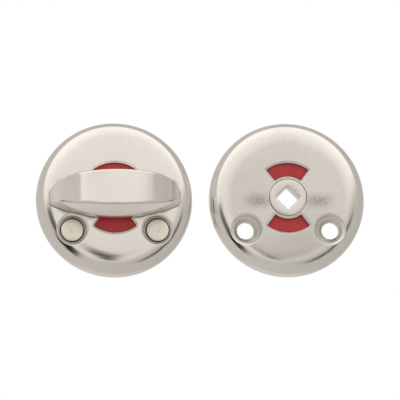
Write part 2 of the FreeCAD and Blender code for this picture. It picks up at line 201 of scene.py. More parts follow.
# Camera, a long lens a little below and to the left of straight ahead
VIEW_WIDTH = 141.3
VIEW_CENTRE = (30.4, 0.25)
VIEW_LEFT = math.radians(4.8)
VIEW_BELOW = math.radians(10.8)
VIEW_DISTANCE = 1000.0
VIEW_ROLL = math.radians(-0.85)
VIEW_NEAREST = 10.0
SENSOR = 36.0

# Shades: the darker and the lighter end of each finish, and the colours of painted marks: a painted dark
# reflection beside the outside hub, painted shadow in the countersinks and painted shadow at the grip's foot
INSIDE_NICKEL = ((0.725, 0.69, 0.65), (0.8, 0.765, 0.725))
OUTSIDE_NICKEL = ((0.62, 0.59, 0.555), (0.78, 0.75, 0.71))
GRIP_NICKEL = ((0.75, 0.715, 0.675), (0.93, 0.9, 0.865))
HUB_NICKEL = ((0.68, 0.64, 0.61), (0.755, 0.715, 0.685))
SLEEVE_PLATE = ((0.79, 0.725, 0.63), (0.86, 0.805, 0.72))
INSIDE_RED = ((0.56, 0.026, 0.032), (0.64, 0.034, 0.04))
OUTSIDE_RED = ((0.46, 0.02, 0.024), (0.54, 0.028, 0.032))
INDICATOR_WHITE = ((0.76, 0.75, 0.72), (0.82, 0.81, 0.78))
ZINC_PLATE = ((0.6, 0.61, 0.63), (0.74, 0.75, 0.77))
SPRING_STEEL = ((0.2, 0.2, 0.21), (0.34, 0.34, 0.35))
PAINTED_SMEAR = (0.2, 0.185, 0.17)
PAINTED_SINK_SHADOW = (0.36, 0.33, 0.29)
PAINTED_FOOT_SHADOW = (0.16, 0.15, 0.14)

# Noise lies mostly between these two values; the details are its octaves
NOISE_LOW = 0.3
NOISE_HIGH = 0.7
CLOUD_DETAIL = 2.0
LINE_DETAIL = 3.0
STREAK_DETAIL = 4.0
PLAIN_ROUGHNESS = 0.5
STREAK_ROUGHNESS = 0.6

# Brushed roses; a band or ring is (low, high, softness of its ends) in millimetres
STREAK_TURNS = 9.0
STREAK_SHARE = 0.6
STREAK_SLOPE = 0.012
STREAK_GLOSS = (0.25, 0.75)
ROSE_CLOUD = 60.0
ROSE_STRETCH = 0.8
# The painted reflection: a dark smear along the streaks left and right of the outside hub
SMEAR_BAND = (-1.6, 1.2, 2.6)
SMEAR_RING = (7.0, 14.5, 3.5)
SMEAR_DRIFT = 2.0
SMEAR_STREAKS = (0.4, 0.8)
SHOULDER_BLEND = (19.5, 22.8)
# The ring of painted shadow round each screw axis, in the countersink
SINK_SHADOW_RING = (3.8, 4.9, 0.2)

# Grip: polishing lines along it, and painted shade: a painted shadow at its foot and, by shares of the roll,
# a painted shade line at its edge
LINE_SCALES = (60.0, 900.0, 2500.0)
LINE_SHARE = 0.5
LINE_RELIEF = 0.0015
GRIP_CLOUD = 90.0
GRIP_TONE = 0.5
# How much lighter the flanks are painted: a painted sheen on their satin finish
FLANK_SHEEN = 0.5
FLANK_ROUGH = 0.26
GRIP_ROUGH = (0.1, 0.15)
FOOT_SHADOW_REACH = (0.8, 2.8)
FOOT_SHADOW_DEPTH = 0.9
# Painted shade line where the rolled edge meets the flank, stopping before the ends
PAINTED_EDGE_SHADE = (0.3, 0.9, 0.12)
EDGE_SHADE_DEPTH = 0.85
EDGE_SHADE_ENDS = (18.5, 20.5)

# Turned metal, enamel and plated steel
TURNED_ANGLE = 0.8
TURNED_DEPTH = 2500.0
TURNED_RELIEF = 0.005
ENAMEL_CLOUD = 700.0
ENAMEL_BORDER = 0.02
ENAMEL_ROUGH = (0.32, 0.45)
ENAMEL_RELIEF = 0.004
STEEL_MOTTLE_SHARE = 0.65
STEEL_FINENESS = 12
STEEL_RELIEF = 0.004

# Studio: the light's edge in degrees from the direction that the flat faces mirror, and its levels
LIGHT_LEVEL = 0.98
LIGHT_LOW = 0.92
LIGHT_HIGH = 1.05
LIGHT_RISE = 0.25
LIGHT_SIDE = 31.0
LIGHT_TOP = 66.0
LIGHT_BOTTOM = 25.0
LIGHT_SHIFT = 3.0
LIGHT_FADE = (-2.0, 3.0)
LIGHT_FADE_RIGHT = (8.0, 1.0)
GLOW_AWAY = (22.0, 36.0)
GLOW_RISE = (-0.3, 0.7)
GLOW_LEVEL = 0.25
WALL_LEFT = 0.68
WALL_RIGHT = 0.58
BEHIND_AWAY = (120.0, 165.0)
BEHIND_LIGHT = 0.1
FLOOR_AWAY = (104.0, 150.0, 8.0)
FLOOR_UNDER = (0.75, 0.95)
FLOOR_LIGHT = 0.1
LIGHT_TINT = (1.0, 0.97, 0.93)

# Dark gaps under the light: (low, high, softness) round the mirrored direction and away from it
DARK_GAPS = (
    {"round": (-176.0, -148.0, 5.0), "away": (26.5, 32.5, 1.0), "depth": 0.85},
    {"round": (-151.0, -127.0, 4.0), "away": (27.5, 35.5, 1.0), "depth": 1.0},
    {"round": (-122.0, -107.0, 4.0), "away": (13.5, 21.5, 1.5), "depth": 1.0},
    {"round": (-110.0, -94.0, 4.0), "away": (16.0, 24.5, 1.5), "depth": 1.0},
    {"round": (-70.0, -12.0, 9.0), "away": (28.5, 31.5, 1.0), "depth": 0.85},
)


class Patchwork:
    """Points and faces of one piece, gathered patch by patch and welded at the end."""

    def __init__(self):
        self.points = []
        self.faces = []
        self.count = 0

    def add(self, points, faces):
        """A patch of points with its faces, numbered from the patch's first point."""
        points = np.asarray(points, float).reshape(-1, 3)
        self.points.append(points)
        self.faces.extend((np.asarray(faces) + self.count).tolist())
        self.count += len(points)

    def add_grid(self, points, closed=False):
        """Quads between the neighbouring rows and columns of a grid of points; closed joins the last
        column to the first."""
        rows, columns = points.shape[:2]
        index = np.arange(rows * columns).reshape(rows, columns)
        if closed:
            index = np.concatenate([index, index[:, :1]], axis=1)
        quads = np.stack([index[:-1, :-1], index[:-1, 1:], index[1:, 1:], index[1:, :-1]], axis=-1)
        self.add(points, quads.reshape(-1, 4))

    def piece(self, name):
        """The welded mesh as an object at the origin, faces outward, smooth but for its sharp edges."""
        mesh = bpy.data.meshes.new(name)
        mesh.from_pydata((np.concatenate(self.points) * MILLIMETRE).tolist(), [], self.faces)
        form = bmesh.new()
        form.from_mesh(mesh)
        bmesh.ops.remove_doubles(form, verts=form.verts, dist=WELD_DISTANCE)
        bmesh.ops.dissolve_degenerate(form, edges=form.edges, dist=SLIVER_DISTANCE)
        bmesh.ops.recalc_face_normals(form, faces=form.faces)
        form.to_mesh(mesh)
        form.free()
        mesh.shade_smooth()
        mesh.set_sharp_from_angle(angle=SHARP_ANGLE)
        obj = bpy.data.objects.new(name, mesh)
        bpy.context.scene.collection.objects.link(obj)
        return obj


def smooth_least(a, b, blend):
    """The smaller of two surfaces, with a parabolic transition where they are nearer than blend."""
    near = np.maximum(blend - np.abs(a - b), 0.0) / blend
    return np.minimum(a, b) - near ** 2 * blend / 4


def turns(steps):
    """Evenly spaced angles once round."""
    return np.arange(steps) * 2 * math.pi / steps


def circle(radius, steps, centre=(0.0, 0.0)):
    """Evenly spaced points on a circle in the plane of the door."""
    turn = turns(steps)
    return np.stack([centre[0] + radius * np.cos(turn), centre[1] + radius * np.sin(turn)], axis=1)


def arc(radius, angles, centre=(0.0, 0.0)):
    """Points at a radius from the centre, by their angles from the second axis towards the first."""
    return centre + radius * np.stack([np.sin(angles), np.cos(angles)], axis=1)


def screw_circles(radius):
    """The same circle round both screw axes."""
    return [circle(radius, RECESS_STEPS, centre) for centre in SCREW_CENTRES]


def raised(flat, depth):
    """Points of the door's plane, each moved forward to its depth."""
    return np.stack([flat[:, 0], -depth, flat[:, 1]], axis=1)


def turned_grid(profile, steps, centre=(0.0, 0.0)):
    """A profile of (radius, depth) points carried once round an axis through the centre."""
    profile = np.asarray(profile, float)
    turn = turns(steps)
    x = centre[0] + profile[:, :1] * np.cos(turn)
    z = centre[1] + profile[:, :1] * np.sin(turn)
    y = -np.broadcast_to(profile[:, 1:], x.shape)
    return np.stack([x, y, z], axis=-1)


def brow():
    """The face's lean where it leaves the dome and where it meets the shoulder, and the shoulder's radius."""
    first = math.asin(BROW_START / DOME_RADIUS)
    last = math.asin(math.sin(first) + (BROW_END - BROW_START) / BROW_RADIUS)
    return first, last, (ROSE_RADIUS - BROW_END) / (1 - math.sin(last))


def face_depth(radius):
    """Depth of the rose's front: a shallow dome, and a brow that leans over more and more near the rim."""
    first, _, _ = brow()
    crown = ROSE_HEIGHT - DOME_RADIUS
    dome = crown + np.sqrt(DOME_RADIUS ** 2 - np.minimum(radius, BROW_START) ** 2)
    sine = math.sin(first) + np.clip(radius - BROW_START, 0, BROW_END - BROW_START) / BROW_RADIUS
    return dome - BROW_RADIUS * (math.cos(first) - np.sqrt(1 - sine ** 2))


def back_depth(radius):
    """Depth of the sheet's back: the face's depth less the sheet."""
    return face_depth(radius) - SHEET


def recess_depth(across):
    """Depth inside a screw recess by distance from its axis: countersink cone, floor, steep wall."""
    cone = SINK_DEPTH - np.maximum(SINK_RADIUS - across, 0.0)
    wall = SINK_DEPTH + RECESS_SLOPE * np.maximum(across - RECESS_FLOOR, 0.0)
    return np.where(across < SINK_RADIUS, cone, wall)


def pressed_depth(x, z, base):
    """Depth of the pressed front: the base surface lowered into the two screw recesses."""
    depth = base
    for centre_x, centre_z in SCREW_CENTRES:
        across = np.hypot(x - centre_x, z - centre_z)
        depth = smooth_least(depth, recess_depth(across), RECESS_ROLL)
    return depth


def window_loop(offset, upward):
    """A window's outline: two arcs and two radial sides with round corners, grown by the offset."""
    outer = WINDOW_OUTER - WINDOW_CORNER
    inner = WINDOW_INNER + WINDOW_CORNER
    outer_angle = WINDOW_HALF_ANGLE - math.asin(WINDOW_CORNER / outer)
    inner_angle = WINDOW_HALF_ANGLE - math.asin(WINDOW_CORNER / inner)
    side = WINDOW_HALF_ANGLE + math.pi / 2
    corner = WINDOW_CORNER + offset
    outer_corner = (outer * math.sin(outer_angle), outer * math.cos(outer_angle))
    inner_corner = (inner * math.sin(inner_angle), inner * math.cos(inner_angle))
    outer_half = np.concatenate([
        arc(WINDOW_OUTER + offset, np.linspace(0, outer_angle, WINDOW_OUTER_STEPS)[:-1]),
        arc(corner, np.linspace(outer_angle, side, WINDOW_CORNER_STEPS), outer_corner),
    ])
    inner_half = np.concatenate([
        arc(corner, np.linspace(side, inner_angle + math.pi, WINDOW_CORNER_STEPS), inner_corner),
        arc(WINDOW_INNER - offset, np.linspace(inner_angle, 0, WINDOW_INNER_STEPS)[1:]),
    ])
    share = np.linspace(0, 1, WINDOW_SIDE_STEPS)[1:-1, None]
    straight = outer_half[-1] * (1 - share) + inner_half[0] * share
    half = np.concatenate([outer_half, straight, inner_half])
    loop = np.concatenate([half, half[1:-1][::-1] * (-1, 1)])
    return loop if upward else loop * (1, -1)


def polygon_holds(loop, points):
    """True for each point inside the closed loop, by counting crossings of a level ray."""
    x, z = points[:, :1], points[:, 1:]
    ax, az = loop[:, 0], loop[:, 1]
    bx, bz = np.roll(ax, -1), np.roll(az, -1)
    rising = (az > z) != (bz > z)
    cross = ax + (z - az) * (bx - ax) / np.where(bz == az, 1.0, bz - az)
    return (rising & (x < cross)).sum(axis=1) % 2 == 1


def fill_face(loops, holes, inner_points):
    """Triangles between the loops: a constrained Delaunay net without what lies in a hole."""
    edges = []
    start = 0
    for loop in loops:
        index = np.arange(len(loop)) + start
        edges.extend(np.stack([index, np.roll(index, -1)], axis=1).tolist())
        start += len(loop)
    points = [Vector(point) for point in np.concatenate(loops + [inner_points]).tolist()]
    found, _, faces, *_ = delaunay_2d_cdt(points, edges, [], WHOLE_HULL, NET_TOLERANCE)
    flat = np.array([tuple(point) for point in found])
    faces = np.array(faces)
    middle = flat[faces].mean(axis=1)
    kept = np.ones(len(faces), bool)
    for hole in holes:
        kept &= ~polygon_holds(hole, middle)
    return flat, faces[kept]


def face_points(edge, window, recess, spacing, off_hub, off_edge, off_window):
    """Rings of evenly spaced points from the hub to the edge, every other ring turned by half a step,
    clear of the windows grown by the given amount and of the recesses of the given radius."""
    rings = []
    for number, radius in enumerate(np.arange(HUB_RADIUS + off_hub, edge - off_edge, spacing)):
        steps = int(2 * math.pi * radius / spacing)
        turn = (np.arange(steps) + 0.5 * (number % 2)) * 2 * math.pi / steps
        rings.append(np.stack([radius * np.cos(turn), radius * np.sin(turn)], axis=1))
    points = np.concatenate(rings)
    kept = np.ones(len(points), bool)
    for upward in (True, False):
        kept &= ~polygon_holds(window_loop(window + off_window, upward), points)
    for centre_x, centre_z in SCREW_CENTRES:
        kept &= np.hypot(points[:, 0] - centre_x, points[:, 1] - centre_z) > recess
    return points[kept]


def rose_piece(name, centre_x):
    """The pressed rose. Front and back are nets over the door's plane, lifted to the dome's sphere and
    lowered into the recesses; rim, hub hole, window edges and necks are profiles carried round them."""
    work = Patchwork()
    add_rose_front(work)
    add_rose_back(work)
    add_rose_rim(work)
    add_hub_hole(work)
    add_window_edges(work)
    add_recess_necks(work)
    for points in work.points:
        points[:, 0] += centre_x
    return work.piece(name)


def add_rose_front(work):
    """The face from the hub's hole to the brow's end: a fine net with rings of its own in the recesses."""
    holes = [circle(HUB_RADIUS + HUB_GAP + HUB_EDGE, HUB_HOLE_STEPS)]
    holes += [window_loop(WINDOW_ROLL, upward) for upward in (True, False)]
    holes += screw_circles(SCREW_HOLE)
    loops = [circle(BROW_END, ROSE_STEPS)] + holes + screw_circles(SINK_RADIUS)
    spans = list(np.linspace(SCREW_HOLE, SINK_RADIUS, SINK_RINGS)[1:-1])
    spans += list(np.linspace(SINK_RADIUS, RECESS_REACH - FRONT_OFF_REACH, RECESS_RINGS)[1:])
    rings = [face_points(BROW_END, WINDOW_ROLL, RECESS_REACH, **FRONT_NET)]
    for centre in SCREW_CENTRES:
        rings += [circle(span, RECESS_STEPS, centre) for span in spans]
    flat, faces = fill_face(loops, holes, np.concatenate(rings))
    base = face_depth(np.hypot(flat[:, 0], flat[:, 1]))
    work.add(raised(flat, pressed_depth(flat[:, 0], flat[:, 1], base)), faces)


def add_rose_back(work):
    """The sheet's back inside the shoulder: a coarser net that stops at the recesses."""
    edge = ROSE_RADIUS - brow()[2]
    holes = [circle(HUB_RADIUS + HUB_GAP, HUB_HOLE_STEPS), window_loop(0.0, True), window_loop(0.0, False)]
    holes += screw_circles(RECESS_BACK)
    inner = face_points(edge, 0.0, RECESS_BACK + BACK_OFF_RECESS, **BACK_NET)
    flat, faces = fill_face([circle(edge, ROSE_STEPS)] + holes, holes, inner)
    work.add(raised(flat, back_depth(np.hypot(flat[:, 0], flat[:, 1]))), faces[:, ::-1])


def add_rose_rim(work):
    """The shoulder, the side wall and the wall's inside, turned once round. Where a recess cuts the
    shoulder, the front of the profile is lowered into it."""
    rim = turned_grid(rim_profile(), ROSE_STEPS)
    lowered = pressed_depth(rim[..., 0], rim[..., 2], -rim[..., 1])
    outside = np.arange(len(rim))[:, None] < RIM_FRONT_ROWS
    rim[..., 1] = -np.where(outside, lowered, -rim[..., 1])
    work.add_grid(rim, closed=True)


def rim_profile():
    """From the face's edge over the shoulder to the back rim, and up inside to the back of the face."""
    _, lean, bend = brow()
    radius = ROSE_RADIUS - bend
    depth = float(face_depth(BROW_END)) - bend * math.cos(lean)
    angles = np.linspace(lean, math.pi / 2, RIM_FRONT_ROWS - 2)
    front = [(radius + bend * math.sin(a), depth + bend * math.cos(a)) for a in angles]
    front += [(ROSE_RADIUS, depth / 2), (ROSE_RADIUS, RIM_EDGE)]
    back = [(ROSE_RADIUS - RIM_EDGE, 0.0), (ROSE_RADIUS - SHEET, 0.0)]
    inner = bend - SHEET
    angles = np.linspace(math.pi / 2, RIM_INNER_LEAN, RIM_INNER_ROWS)
    back += [(radius + inner * math.sin(a), depth + inner * math.cos(a)) for a in angles]
    return front + back + [(radius, float(back_depth(radius)))]


def add_hub_hole(work):
    """The hub's hole: a rolled front edge and a straight wall to the sheet's back."""
    hole = HUB_RADIUS + HUB_GAP
    front = float(face_depth(hole + HUB_EDGE))
    roll = np.linspace(0, math.pi / 2, HUB_EDGE_ROWS)
    profile = [(hole + HUB_EDGE * (1 - math.sin(a)), front - HUB_EDGE * (1 - math.cos(a))) for a in roll]
    profile += [(hole, float(back_depth(hole)))]
    work.add_grid(turned_grid(profile, HUB_HOLE_STEPS), closed=True)


def add_window_edges(work):
    """The windows' edges: the lip's profile carried round each outline, each point lowered from the
    face's depth at the lip's outer edge, then a straight wall to the sheet's back."""
    for upward in (True, False):
        mouth = window_loop(WINDOW_ROLL, upward)
        mouth_depth = face_depth(np.hypot(mouth[:, 0], mouth[:, 1]))
        rows = [raised(window_loop(offset, upward), mouth_depth - drop) for offset, drop in WINDOW_LIP]
        opening = window_loop(0.0, upward)
        rows.append(raised(opening, back_depth(np.hypot(opening[:, 0], opening[:, 1]))))
        work.add_grid(np.array(rows), closed=True)


def add_recess_necks(work):
    """The back of each recess: from the sheet's back down to the neck, round the plate's hole, out over
    the swaged rim and up the screw hole to the countersink."""
    profile = [
        (RECESS_BACK, 0.0), (RECESS_HEEL, RECESS_HEEL_DEPTH), (NECK_SEAT, NECK_SEAT_DEPTH),
        (NECK_SEAT, PLATE_FRONT), (NECK_RADIUS, PLATE_FRONT), (NECK_RADIUS, NECK_RIM_FRONT),
        (NECK_RIM, NECK_RIM_FRONT), (NECK_RIM - NECK_RIM_EDGE, NECK_RIM_FRONT - NECK_RIM_WALL),
        (NECK_RADIUS, NECK_END), (SCREW_HOLE + SCREW_HOLE_EDGE, NECK_END),
        (SCREW_HOLE, NECK_END + SCREW_HOLE_EDGE), (SCREW_HOLE, SINK_DEPTH - SINK_RADIUS + SCREW_HOLE),
    ]
    for centre in SCREW_CENTRES:
        grid = turned_grid(profile, RECESS_STEPS, centre)
        grid[0, :, 1] = -back_depth(np.hypot(grid[0, :, 0], grid[0, :, 2]))
        work.add_grid(grid, closed=True)


def flatted(circle_radius, flat, turn):
    """Radius of a round bar with four flats, by angle: the lesser of the circle and the square."""
    across = np.maximum(np.abs(np.cos(turn - math.pi / 4)), np.abs(np.sin(turn - math.pi / 4)))
    return np.minimum(circle_radius, flat / across)


def hub_grid(path, steps):
    """A path of (circle radius, half width over flats, depth) carried round the spindle's axis."""
    turn = turns(steps)
    rows = []
    for radius, flat, depth in path:
        reach = flatted(radius, flat, turn)
        rows.append(np.stack([reach * np.cos(turn), np.full(steps, -depth), reach * np.sin(turn)], axis=1))
    return np.array(rows)


def journal_path():
    """The neck behind the shoulder: four flats, the ring's groove, the end and the socket's mouth."""
    radius, groove, flat = JOURNAL_RADIUS, RING_GROOVE_RADIUS, JOURNAL_FLAT
    return [
        (HUB_RADIUS - JOURNAL_STEP, NO_LIMIT, HUB_SHOULDER), (radius, flat, HUB_SHOULDER),
        (radius, flat, RING_GROOVE_FRONT), (groove, flat, RING_GROOVE_FRONT),
        (groove, flat, RING_GROOVE_BACK), (radius, flat, RING_GROOVE_BACK),
        (radius, flat, JOURNAL_END + JOURNAL_CHAMFER),
        (radius - JOURNAL_CHAMFER, flat - JOURNAL_CHAMFER, JOURNAL_END),
        (NO_LIMIT, SOCKET_HALF + SOCKET_MOUTH, JOURNAL_END),
        (NO_LIMIT, SOCKET_HALF, JOURNAL_END + SOCKET_MOUTH),
    ]


def hub_piece(name, head, centre_x):
    """One closed path round the spindle's axis: the head from the socket outward, the journal behind it
    and back through the socket."""
    work = Patchwork()
    work.add_grid(hub_grid(head + journal_path() + head[:1], HUB_STEPS) + (centre_x, 0, 0), closed=True)
    return work.piece(name)


def follower_piece():
    """The outside hub: the socket's rolled front edge, the face, its rolled edge and the flange."""
    front = FOLLOWER_FRONT
    third = SOCKET_EDGE / 3
    middle = HUB_EDGE * HUB_EDGE_MIDDLE
    head = [
        (NO_LIMIT, SOCKET_HALF, front - SOCKET_EDGE), (NO_LIMIT, SOCKET_HALF + third, front - third),
        (NO_LIMIT, SOCKET_HALF + SOCKET_EDGE, front), (HUB_RADIUS - HUB_FACE_RING, NO_LIMIT, front),
        (HUB_RADIUS - HUB_EDGE, NO_LIMIT, front), (HUB_RADIUS - middle, NO_LIMIT, front - middle),
        (HUB_RADIUS, NO_LIMIT, front - HUB_EDGE), (HUB_RADIUS, NO_LIMIT, FLANGE_FRONT),
        (FLANGE_RADIUS, NO_LIMIT, FLANGE_FRONT), (FLANGE_RADIUS, NO_LIMIT, HUB_SHOULDER),
    ]
    return hub_piece("follower_hub", head, ROSE_SPACING)


def journal_piece():
    """The thumb turn's journal, from inside the grip's foot."""
    top = GRIP_FOOT + JOURNAL_IN_FOOT
    head = [(NO_LIMIT, SOCKET_HALF, top), (HUB_RADIUS, NO_LIMIT, top), (HUB_RADIUS, NO_LIMIT, HUB_SHOULDER)]
    return hub_piece("thumb_turn_journal", head, 0.0)


def groove_half_width(height):
    """Half width left by the finger groove: a bevel off the foot wall, a round bend, a lean to the front."""
    reach = GRIP_HALF_WIDTH + FINGER_BEVEL * FINGER_TOP - GRIP_FRONT_HALF + FINGER_LEAN * GRIP_REACH
    corner = reach / (FINGER_BEVEL + FINGER_LEAN)
    corner_width = GRIP_HALF_WIDTH - FINGER_BEVEL * (corner - FINGER_TOP)
    down, up = math.atan(FINGER_BEVEL), math.atan(FINGER_LEAN)
    tangent = FINGER_BEND * math.tan((down + up) / 2)
    first, last = corner - tangent * math.cos(down), corner + tangent * math.cos(up)
    centre = first + FINGER_BEND * math.sin(down)
    centre_width = GRIP_HALF_WIDTH - FINGER_BEVEL * (first - FINGER_TOP) + FINGER_BEND * math.cos(down)
    along = np.clip(height - centre, first - centre, last - centre)
    bend = centre_width - np.sqrt(FINGER_BEND ** 2 - along ** 2)
    bevel = corner_width + FINGER_BEVEL * (corner - height)
    lean = corner_width + FINGER_LEAN * (height - corner)
    return np.where(height < first, bevel, np.where(height > last, lean, bend))


def grip_half_width(x, height):
    """Half the grip's width: the foot's circular bow along X, cut by the finger groove."""
    rise = GRIP_HALF_WIDTH - GRIP_END_WIDTH
    bow = (GRIP_PLAN_HALF ** 2 + rise ** 2) / (2 * rise)
    wall = GRIP_HALF_WIDTH - bow + np.sqrt(bow ** 2 - x ** 2)
    return smooth_least(wall, groove_half_width(height), GRIP_CREASE)


def grip_profile():
    """The half-moon seen from above, left foot to right foot, as (x, height): end wall, corner arc and
    crest arc, each at even steps, and their mirror image."""
    crest_centre = GRIP_REACH - GRIP_CREST
    corner_x = GRIP_CORNER_REACH - GRIP_CORNER
    reach = GRIP_CREST - GRIP_CORNER
    corner_height = crest_centre + math.sqrt(reach ** 2 - corner_x ** 2)
    lean = math.asin(corner_x / reach)
    end = math.acos((GRIP_END_HEIGHT - corner_height) / GRIP_CORNER)
    end_x = corner_x + GRIP_CORNER * math.sin(end)
    rise = np.linspace(0, 1, GRIP_END_STEPS)[:-1]
    wall = np.stack([GRIP_HALF_LENGTH + (end_x - GRIP_HALF_LENGTH) * rise, GRIP_END_HEIGHT * rise], axis=1)
    corner = arc(GRIP_CORNER, np.linspace(end, lean, GRIP_CORNER_STEPS)[:-1], (corner_x, corner_height))
    crest = arc(GRIP_CREST, np.linspace(lean, 0, GRIP_CREST_STEPS), (0.0, crest_centre))
    right = np.concatenate([wall, corner, crest])
    return np.concatenate([right * (-1, 1), right[:-1][::-1]])


def outline_distance(x, height, outline):
    """Least distance from each point to the outline's segments, row by row of the grid."""
    start, end = outline[:-1], outline[1:]
    along = end - start
    length = (along ** 2).sum(axis=1)
    least = np.empty(x.shape)
    for row in range(len(x)):
        gap_x = x[row][:, None] - start[None, :, 0]
        gap_h = height[row][:, None] - start[None, :, 1]
        share = np.clip((gap_x * along[:, 0] + gap_h * along[:, 1]) / length, 0, 1)
        least[row] = np.hypot(gap_x - share * along[:, 0], gap_h - share * along[:, 1]).min(axis=1)
    return least


def rolled(distance):
    """How far a rolled edge draws the flank in, by distance from the grip's outline: a quarter circle."""
    near = np.clip(GRIP_ROLL - distance, 0, GRIP_ROLL)
    return GRIP_ROLL - np.sqrt(GRIP_ROLL ** 2 - near ** 2)


def grip_piece():
    """The grip: rays from the foot's middle to the half-moon outline, closer together under the edge
    roll, each point pushed out to the flank's half width less the roll; the front spans between the
    two rolls. The pin's hole and the spindle's room are cut out of it."""
    outline = grip_profile()
    near = GRIP_ROLL / GRIP_REACH
    flat = np.linspace(0, 1 - GRIP_ROLL_ROOM * near, GRIP_FLANK_ROWS)[:-1]
    share = np.concatenate([flat, 1 - GRIP_ROLL_ROOM * near * np.linspace(1, 0, GRIP_ROLL_ROWS) ** 2])
    x = share[:, None] * outline[None, :, 0]
    height = share[:, None] * outline[None, :, 1]
    half = grip_half_width(x, height) - rolled(outline_distance(x, height, outline))
    work = Patchwork()
    for side in (-1, 1):
        work.add_grid(np.stack([x, -GRIP_FOOT - height, side * half], axis=-1))
    across = np.linspace(-1, 1, GRIP_FRONT_ROWS)[:, None]
    front = np.broadcast_arrays(outline[:, 0], -GRIP_FOOT - outline[:, 1], across * half[-1])
    work.add_grid(np.stack(front, axis=-1))
    add_grip_foot(work, x, half)
    grip = work.piece("thumb_turn_grip")
    mark_flanks(grip, outline)
    carve(grip, pin_hole())
    carve(grip, spindle_room())
    return grip


def add_grip_foot(work, x, half):
    """The foot's underside, which follows the dome at an even gap, and the low wall round it."""
    base_x = np.concatenate([x[::-1, 0], x[1:, -1]])
    base_half = np.concatenate([half[::-1, 0], half[1:, -1]])
    z = np.linspace(-1, 1, GRIP_FOOT_ROWS)[:, None] * base_half
    under = GRIP_FOOT - ROSE_HEIGHT + face_depth(np.hypot(base_x, z))
    bottom = np.stack(np.broadcast_arrays(base_x, -under, z), axis=-1)
    top = np.stack(np.broadcast_arrays(base_x, -GRIP_FOOT, z), axis=-1)
    work.add_grid(bottom)
    for line in (0, -1):
        work.add_grid(np.array([top[line], bottom[line]]))
    for line in (0, -1):
        work.add_grid(np.array([top[:, line], bottom[:, line]]))


def mark_flanks(grip, outline):
    """Two vertex values for the finish: roll is 0 on the front and 1 on the flanks inside their rolled
    edges, and flank is the same, but 1 on the end walls too."""
    points = np.array([tuple(vertex.co) for vertex in grip.data.vertices]) / MILLIMETRE
    distance = outline_distance(points[None, :, 0], -GRIP_FOOT - points[None, :, 1], outline)[0]
    ends = np.clip((np.abs(points[:, 0]) - SATIN_ENDS[0]) / (SATIN_ENDS[1] - SATIN_ENDS[0]), 0, 1)
    roll = np.clip(distance / GRIP_ROLL, 0, 1)
    for name, values in (("roll", roll), ("flank", np.maximum(roll, ends))):
        grip.data.attributes.new(name, "FLOAT", "POINT").data.foreach_set("value", values)


def pin_hole():
    """The cross pin's hole as a round bar: down from above the upper flank, deeper than the pin."""
    turn = turns(PIN_HOLE_STEPS)
    depth = GRIP_FOOT + PIN_REACH
    start, end = PIN_HOLE_START, PIN_HOLE_END
    rows = []
    for radius, z in ((0.0, start), (PIN_HOLE, start), (PIN_HOLE, end), (0.0, end)):
        ring = np.broadcast_arrays(radius * np.cos(turn), radius * np.sin(turn) - depth, z)
        rows.append(np.stack(ring, axis=1))
    work = Patchwork()
    work.add_grid(np.array(rows), closed=True)
    return work.piece("pin_hole_cutter")


def spindle_room():
    """The square socket in the foot as a bar set on its edge, from under the foot to its blind end."""
    start, end = GRIP_FOOT - SPINDLE_ROOM_START, GRIP_FOOT + SPINDLE_ENGAGED
    path = [(0.0, NO_LIMIT, start), (NO_LIMIT, SOCKET_HALF, start)]
    path += [(NO_LIMIT, SOCKET_HALF, end), (0.0, NO_LIMIT, end)]
    work = Patchwork()
    work.add_grid(hub_grid(path, SQUARE_STEPS), closed=True)
    return work.piece("spindle_room_cutter")


def carve(obj, cutter):
    """Cut the cutter's room out of the piece and drop the cutter."""
    tool = obj.modifiers.new("carve", "BOOLEAN")
    tool.object = cutter
    tool.operation = "DIFFERENCE"
    tool.solver = "EXACT"
    with bpy.context.temp_override(object=obj, active_object=obj, selected_objects=[obj]):
        bpy.ops.object.modifier_apply(modifier="carve")
    bpy.data.objects.remove(cutter)


def sleeve_piece(name, centre):
    """A turned sleeve nut: flat blind head, cone, shank and the hole from behind, on its own axis."""
    profile = [
        (0.0, SLEEVE_FRONT - SLEEVE_PIP_DEPTH), (SLEEVE_PIP, SLEEVE_FRONT - SLEEVE_PIP_DEPTH),
        (SLEEVE_PIP_RIM, SLEEVE_FRONT),
    ]
    profile += [(SLEEVE_HEAD - inward, SLEEVE_FRONT - drop) for inward, drop in SLEEVE_EDGE]
    profile += [
        (SLEEVE_HEAD, SLEEVE_SEAT), (SLEEVE_SHANK, SLEEVE_SEAT - SLEEVE_HEAD + SLEEVE_SHANK),
        (SLEEVE_SHANK, SLEEVE_BACK + SLEEVE_BACK_CHAMFER), (SLEEVE_SHANK - SLEEVE_BACK_CHAMFER, SLEEVE_BACK),
        (SLEEVE_THREAD + SLEEVE_THREAD_CHAMFER, SLEEVE_BACK),
        (SLEEVE_THREAD, SLEEVE_BACK + SLEEVE_THREAD_CHAMFER),
        (SLEEVE_THREAD, SLEEVE_THREAD_TOP), (0.0, SLEEVE_THREAD_TOP),
    ]
    work = Patchwork()
    work.add_grid(turned_grid(profile, SLEEVE_STEPS, centre), closed=True)
    return work.piece(name)


